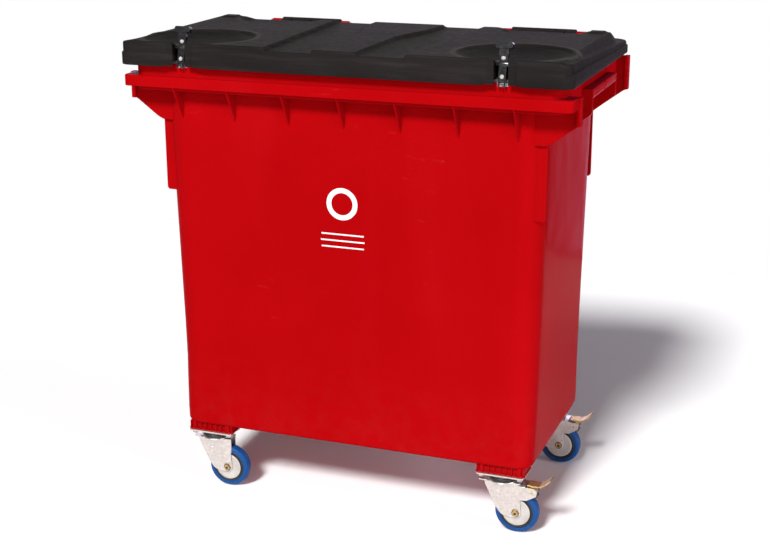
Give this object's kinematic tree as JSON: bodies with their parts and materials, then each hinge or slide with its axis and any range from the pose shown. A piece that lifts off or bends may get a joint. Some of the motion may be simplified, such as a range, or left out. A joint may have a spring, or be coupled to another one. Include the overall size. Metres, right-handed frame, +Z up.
{
  "type": "four-wheeled waste bin",
  "caption": "Large red four-wheeled clinical waste bin with a hinged black lid, draw latches, side handles, swivel castors and foot brakes.",
  "frame": {"origin": "on the floor, midway between the four castor pivots", "axes": "+Z up, -Y towards the front with the latches, +X along the length, the way the castors trail"},
  "size_m": [1.28, 0.748, 1.3804],
  "materials": {
    "tub": "satin",
    "lid": "grained matt",
    "latch": "gloss",
    "seal": "matt",
    "steel": "satin",
    "zinc": "bright zinc",
    "yellow_zinc": "yellow passivated",
    "tyre": "satin",
    "black_plastic": "satin",
    "white_plastic": "satin"
  },
  "bodies": {
    "front_left_swivel": {"front_left_fork": "zinc", "front_left_axle": "yellow_zinc"},
    "front_left_wheel": {"front_left_rim": "black_plastic", "front_left_tyre": "tyre", "front_left_guards": "white_plastic", "front_left_bearings": "steel"},
    "front_right_brake": {"front_right_brake_pedal": "yellow_zinc", "front_right_brake_shoe": "black_plastic"},
    "front_right_swivel": {"front_right_fork": "zinc", "front_right_axle": "yellow_zinc", "front_right_brake_bracket": "zinc"},
    "front_right_wheel": {"front_right_rim": "black_plastic", "front_right_tyre": "tyre", "front_right_guards": "white_plastic", "front_right_bearings": "steel"},
    "rear_left_swivel": {"rear_left_fork": "zinc", "rear_left_axle": "yellow_zinc"},
    "rear_left_wheel": {"rear_left_rim": "black_plastic", "rear_left_tyre": "tyre", "rear_left_guards": "white_plastic", "rear_left_bearings": "steel"},
    "rear_right_brake": {"rear_right_brake_pedal": "yellow_zinc", "rear_right_brake_shoe": "black_plastic"},
    "rear_right_swivel": {"rear_right_fork": "zinc", "rear_right_axle": "yellow_zinc", "rear_right_brake_bracket": "zinc"},
    "rear_right_wheel": {"rear_right_rim": "black_plastic", "rear_right_tyre": "tyre", "rear_right_guards": "white_plastic", "rear_right_bearings": "steel"},
    "tub": {"tub": "tub", "drain_plug": "black_plastic", "drain_seal": "seal", "hinge_pins": "steel", "latch_keepers": "steel", "front_left_plate": "zinc", "front_left_bolts": "steel", "front_left_race": "black_plastic", "front_right_plate": "zinc", "front_right_bolts": "steel", "front_right_race": "black_plastic", "rear_left_plate": "zinc", "rear_left_bolts": "steel", "rear_left_race": "black_plastic", "rear_right_plate": "zinc", "rear_right_bolts": "steel", "rear_right_race": "black_plastic"},
    "lid": {"lid": "lid", "lid_gasket": "seal", "latch_pin_left": "steel", "latch_pin_right": "steel"},
    "latch_left": {"latch_left": "latch", "latch_rivets_left": "white_plastic"},
    "latch_right": {"latch_right": "latch", "latch_rivets_right": "white_plastic"}
  },
  "joints": [
    {"name": "lid_hinge", "type": "hinge", "parent": "tub", "child": "lid", "pos_m": [0, 0.356, 1.302], "axis": [-1, 0, 0], "range_deg": [0, 250]},
    {"name": "latch_left_swing", "type": "hinge", "parent": "lid", "child": "latch_left", "pos_m": [-0.449, -0.34668, 1.32243], "axis": [-1, 0, 0], "range_deg": [0, 32]},
    {"name": "latch_right_swing", "type": "hinge", "parent": "lid", "child": "latch_right", "pos_m": [0.449, -0.34668, 1.32243], "axis": [-1, 0, 0], "range_deg": [0, 32]},
    {"name": "front_left_swivel", "type": "hinge", "parent": "tub", "child": "front_left_swivel", "pos_m": [-0.444, -0.247, 0.15], "axis": [0, 0, 1], "continuous": true},
    {"name": "front_left_spin", "type": "hinge", "parent": "front_left_swivel", "child": "front_left_wheel", "pos_m": [-0.401, -0.247, 0.0625], "axis": [0, 1, 0], "continuous": true},
    {"name": "front_right_swivel", "type": "hinge", "parent": "tub", "child": "front_right_swivel", "pos_m": [0.444, -0.247, 0.15], "axis": [0, 0, 1], "continuous": true},
    {"name": "front_right_spin", "type": "hinge", "parent": "front_right_swivel", "child": "front_right_wheel", "pos_m": [0.487, -0.247, 0.0625], "axis": [0, 1, 0], "continuous": true},
    {"name": "rear_left_swivel", "type": "hinge", "parent": "tub", "child": "rear_left_swivel", "pos_m": [-0.444, 0.247, 0.15], "axis": [0, 0, 1], "continuous": true},
    {"name": "rear_left_spin", "type": "hinge", "parent": "rear_left_swivel", "child": "rear_left_wheel", "pos_m": [-0.401, 0.247, 0.0625], "axis": [0, 1, 0], "continuous": true},
    {"name": "rear_right_swivel", "type": "hinge", "parent": "tub", "child": "rear_right_swivel", "pos_m": [0.444, 0.247, 0.15], "axis": [0, 0, 1], "continuous": true},
    {"name": "rear_right_spin", "type": "hinge", "parent": "rear_right_swivel", "child": "rear_right_wheel", "pos_m": [0.487, 0.247, 0.0625], "axis": [0, 1, 0], "continuous": true},
    {"name": "front_right_brake", "type": "hinge", "parent": "front_right_swivel", "child": "front_right_brake", "pos_m": [0.532, -0.247, 0.131], "axis": [0, 1, 0], "range_deg": [0, 20]},
    {"name": "rear_right_brake", "type": "hinge", "parent": "rear_right_swivel", "child": "rear_right_brake", "pos_m": [0.532, 0.247, 0.131], "axis": [0, 1, 0], "range_deg": [0, 20]}
  ]
}
